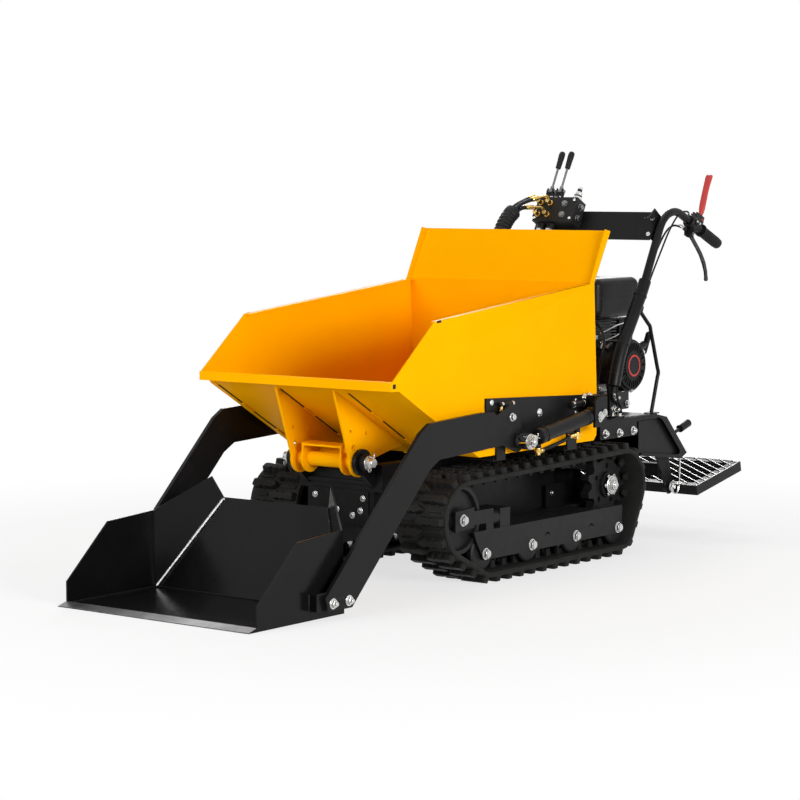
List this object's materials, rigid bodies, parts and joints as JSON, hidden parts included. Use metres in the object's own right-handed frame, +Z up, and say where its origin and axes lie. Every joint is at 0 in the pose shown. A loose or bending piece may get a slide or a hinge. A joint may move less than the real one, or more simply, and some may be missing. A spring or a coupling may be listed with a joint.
{
  "type": "tracked power carrier with self-loading shovel",
  "caption": "Walk-behind tracked dumper: rubber tracks, tipping load bin, hydraulic self-loading shovel on lift arms, rear engine, handlebars with levers and a fold-up platform.",
  "frame": {"origin": "centre of the outline on the ground between the tracks", "axes": "+Z up, -Y towards the shovel, +Y towards the operator, +X to the machine's left"},
  "size_m": [0.872, 2.5729, 1.249],
  "materials": {
    "yellow_paint": "gloss powder coat",
    "black_paint": "satin powder coat",
    "grey_black_paint": "matt paint",
    "track_rubber": "matt moulded rubber",
    "soft_rubber": "matt",
    "cast_dark": "painted casting",
    "zinc_steel": "zinc plated",
    "chrome_rod": "polished",
    "cast_alloy": "as cast",
    "brass_fitting": "yellow passivated",
    "red_lever": "satin",
    "black_plastic": "satin",
    "lever_alloy": "satin"
  },
  "bodies": {
    "chassis": {"chassis_frame": "black_paint", "arm_brackets": "black_paint", "track_frame_left": "grey_black_paint", "track_frame_right": "grey_black_paint", "track_left": "track_rubber", "track_right": "track_rubber", "wheel_axles": "zinc_steel", "gearbox": "cast_dark", "rear_deck": "black_paint", "engine_block": "cast_alloy", "recoil_cover": "black_paint", "fuel_tank": "black_paint", "air_filter": "black_plastic", "muffler": "zinc_steel", "drive_cover": "black_paint", "hydraulic_pump": "cast_alloy", "hydraulic_tank": "black_paint", "handle_tubes": "black_paint", "handle_braces": "black_paint", "grips": "soft_rubber", "control_panel": "black_paint", "valve_block": "cast_dark", "valve_fittings": "brass_fitting", "valve_hoses": "soft_rubber", "hose_sleeve": "black_plastic", "lever_clamps": "black_plastic", "control_cables": "black_plastic", "pivot_pins": "zinc_steel"},
    "sprocket_left": {"sprocket_left": "cast_dark"},
    "sprocket_right": {"sprocket_right": "cast_dark"},
    "idler_left": {"idler_left": "grey_black_paint"},
    "idler_right": {"idler_right": "grey_black_paint"},
    "roller_left_1": {"roller_left_1": "grey_black_paint"},
    "roller_left_2": {"roller_left_2": "grey_black_paint"},
    "roller_left_3": {"roller_left_3": "grey_black_paint"},
    "roller_left_4": {"roller_left_4": "grey_black_paint"},
    "roller_right_1": {"roller_right_1": "grey_black_paint"},
    "roller_right_2": {"roller_right_2": "grey_black_paint"},
    "roller_right_3": {"roller_right_3": "grey_black_paint"},
    "roller_right_4": {"roller_right_4": "grey_black_paint"},
    "platform": {"platform": "black_paint"},
    "starter_handle": {"starter_handle": "black_plastic"},
    "fuel_cap": {"fuel_cap": "black_plastic"},
    "valve_lever_1": {"valve_lever_1": "black_plastic"},
    "valve_lever_2": {"valve_lever_2": "black_plastic"},
    "steering_lever_left": {"steering_lever_left": "lever_alloy"},
    "steering_lever_right": {"steering_lever_right": "lever_alloy"},
    "clutch_lever": {"clutch_lever": "red_lever"},
    "shift_lever": {"shift_lever": "black_paint"},
    "bin": {"bin": "yellow_paint", "bin_underframe": "yellow_paint"},
    "loader": {"shovel": "black_paint", "arm_left": "black_paint", "arm_right": "black_paint"},
    "lift_barrel_left": {"lift_barrel_left": "black_paint"},
    "lift_barrel_right": {"lift_barrel_right": "black_paint"},
    "lift_rod_left": {"lift_rod_left": "chrome_rod"},
    "lift_rod_right": {"lift_rod_right": "chrome_rod"},
    "tip_barrel": {"tip_barrel": "black_paint"},
    "tip_rod": {"tip_rod": "chrome_rod"}
  },
  "joints": [
    {"name": "left_drive", "type": "hinge", "parent": "chassis", "child": "sprocket_left", "pos_m": [0.2725, 0.47329, 0.214], "axis": [1, 0, 0], "continuous": true},
    {"name": "left_idler_spin", "type": "hinge", "parent": "chassis", "child": "idler_left", "pos_m": [0.2725, -0.34871, 0.193], "axis": [1, 0, 0], "continuous": true},
    {"name": "left_roller_1_spin", "type": "hinge", "parent": "chassis", "child": "roller_left_1", "pos_m": [0.2725, -0.23871, 0.0844], "axis": [1, 0, 0], "continuous": true},
    {"name": "left_roller_2_spin", "type": "hinge", "parent": "chassis", "child": "roller_left_2", "pos_m": [0.2725, -0.00471, 0.0844], "axis": [1, 0, 0], "continuous": true},
    {"name": "left_roller_3_spin", "type": "hinge", "parent": "chassis", "child": "roller_left_3", "pos_m": [0.2725, 0.22929, 0.0844], "axis": [1, 0, 0], "continuous": true},
    {"name": "left_roller_4_spin", "type": "hinge", "parent": "chassis", "child": "roller_left_4", "pos_m": [0.2725, 0.46329, 0.0844], "axis": [1, 0, 0], "continuous": true},
    {"name": "right_drive", "type": "hinge", "parent": "chassis", "child": "sprocket_right", "pos_m": [-0.2725, 0.47329, 0.214], "axis": [1, 0, 0], "continuous": true},
    {"name": "right_idler_spin", "type": "hinge", "parent": "chassis", "child": "idler_right", "pos_m": [-0.2725, -0.34871, 0.193], "axis": [1, 0, 0], "continuous": true},
    {"name": "right_roller_1_spin", "type": "hinge", "parent": "chassis", "child": "roller_right_1", "pos_m": [-0.2725, -0.23871, 0.0844], "axis": [1, 0, 0], "continuous": true},
    {"name": "right_roller_2_spin", "type": "hinge", "parent": "chassis", "child": "roller_right_2", "pos_m": [-0.2725, -0.00471, 0.0844], "axis": [1, 0, 0], "continuous": true},
    {"name": "right_roller_3_spin", "type": "hinge", "parent": "chassis", "child": "roller_right_3", "pos_m": [-0.2725, 0.22929, 0.0844], "axis": [1, 0, 0], "continuous": true},
    {"name": "right_roller_4_spin", "type": "hinge", "parent": "chassis", "child": "roller_right_4", "pos_m": [-0.2725, 0.46329, 0.0844], "axis": [1, 0, 0], "continuous": true},
    {"name": "arm_lift", "type": "hinge", "parent": "chassis", "child": "loader", "pos_m": [0, -0.16571, 0.4764], "axis": [-1, 0, 0], "range_deg": [0, 116]},
    {"name": "left_lift_barrel_swing", "type": "hinge", "parent": "chassis", "child": "lift_barrel_left", "pos_m": [0.408, 0.21529, 0.4564], "axis": [-1, 0, 0], "range_deg": [0, 12]},
    {"name": "left_lift_rod_slide", "type": "slide", "parent": "lift_barrel_left", "child": "lift_rod_left", "axis": [0, -0.9897, -0.1434], "range_m": [0, 0.1045]},
    {"name": "right_lift_barrel_swing", "type": "hinge", "parent": "chassis", "child": "lift_barrel_right", "pos_m": [-0.408, 0.21529, 0.4564], "axis": [-1, 0, 0], "range_deg": [0, 12]},
    {"name": "right_lift_rod_slide", "type": "slide", "parent": "lift_barrel_right", "child": "lift_rod_right", "axis": [0, -0.9897, -0.1434], "range_m": [0, 0.1045]},
    {"name": "bin_tip", "type": "hinge", "parent": "chassis", "child": "bin", "pos_m": [0, -0.53371, 0.3604], "axis": [1, 0, 0], "range_deg": [0, 53]},
    {"name": "tip_barrel_swing", "type": "hinge", "parent": "chassis", "child": "tip_barrel", "pos_m": [0, -0.35871, 0.2154], "axis": [1, 0, 0], "range_deg": [0, 55.5]},
    {"name": "tip_rod_slide", "type": "slide", "parent": "tip_barrel", "child": "tip_rod", "axis": [0, 0.9487, 0.3162], "range_m": [0, 0.2042]},
    {"name": "platform_fold", "type": "hinge", "parent": "chassis", "child": "platform", "pos_m": [0, 0.98529, 0.1524], "axis": [1, 0, 0], "range_deg": [0, 40]},
    {"name": "valve_lever_1_tilt", "type": "hinge", "parent": "chassis", "child": "valve_lever_1", "pos_m": [-0.192, 0.87022, 1.11708], "axis": [1, 0, 0], "range_deg": [-18, 18], "stiffness_Nm_per_rad": 3},
    {"name": "valve_lever_2_tilt", "type": "hinge", "parent": "chassis", "child": "valve_lever_2", "pos_m": [-0.155, 0.87022, 1.11708], "axis": [1, 0, 0], "range_deg": [-18, 18], "stiffness_Nm_per_rad": 3},
    {"name": "left_steering_squeeze", "type": "hinge", "parent": "chassis", "child": "steering_lever_left", "pos_m": [0.235, 1.04651, 0.98085], "axis": [1, 0, 0], "range_deg": [0, 20], "stiffness_Nm_per_rad": 4, "springref_deg": -11.46},
    {"name": "right_steering_squeeze", "type": "hinge", "parent": "chassis", "child": "steering_lever_right", "pos_m": [-0.235, 1.04651, 0.98085], "axis": [1, 0, 0], "range_deg": [0, 20], "stiffness_Nm_per_rad": 4, "springref_deg": -11.46},
    {"name": "clutch_squeeze", "type": "hinge", "parent": "chassis", "child": "clutch_lever", "pos_m": [0.235, 1.11203, 1.02457], "axis": [-1, 0, 0], "range_deg": [0, 62], "stiffness_Nm_per_rad": 2, "springref_deg": -17.19},
    {"name": "gear_shift", "type": "hinge", "parent": "chassis", "child": "shift_lever", "pos_m": [0.212, 0.90129, 0.3004], "axis": [1, 0, 0], "range_deg": [-10, 10]},
    {"name": "starter_pull", "type": "slide", "parent": "chassis", "child": "starter_handle", "axis": [0, 0.9703, 0.2419], "range_m": [0, 0.09], "stiffness_N_per_m": 80, "springref_m": -0.03},
    {"name": "fuel_cap_turn", "type": "hinge", "parent": "chassis", "child": "fuel_cap", "pos_m": [0.02, 0.74129, 0.8427], "axis": [0, 0, 1], "range_deg": [0, 90]}
  ],
  "couplings": [
    {"joint": "left_idler_spin", "follows": "left_drive", "ratio": 1},
    {"joint": "left_roller_1_spin", "follows": "left_drive", "ratio": 1.9231},
    {"joint": "left_roller_2_spin", "follows": "left_drive", "ratio": 1.9231},
    {"joint": "left_roller_3_spin", "follows": "left_drive", "ratio": 1.9231},
    {"joint": "left_roller_4_spin", "follows": "left_drive", "ratio": 1.9231},
    {"joint": "right_idler_spin", "follows": "right_drive", "ratio": 1},
    {"joint": "right_roller_1_spin", "follows": "right_drive", "ratio": 1.9231},
    {"joint": "right_roller_2_spin", "follows": "right_drive", "ratio": 1.9231},
    {"joint": "right_roller_3_spin", "follows": "right_drive", "ratio": 1.9231},
    {"joint": "right_roller_4_spin", "follows": "right_drive", "ratio": 1.9231},
    {"joint": "left_lift_barrel_swing", "follows": "arm_lift", "ratio": 0.0981},
    {"joint": "left_lift_rod_slide", "follows": "arm_lift", "m_per_rad": 0.050646},
    {"joint": "right_lift_barrel_swing", "follows": "arm_lift", "ratio": 0.0981},
    {"joint": "right_lift_rod_slide", "follows": "arm_lift", "m_per_rad": 0.050646},
    {"joint": "tip_barrel_swing", "follows": "bin_tip", "ratio": 1.0356},
    {"joint": "tip_rod_slide", "follows": "bin_tip", "m_per_rad": 0.21861}
  ]
}
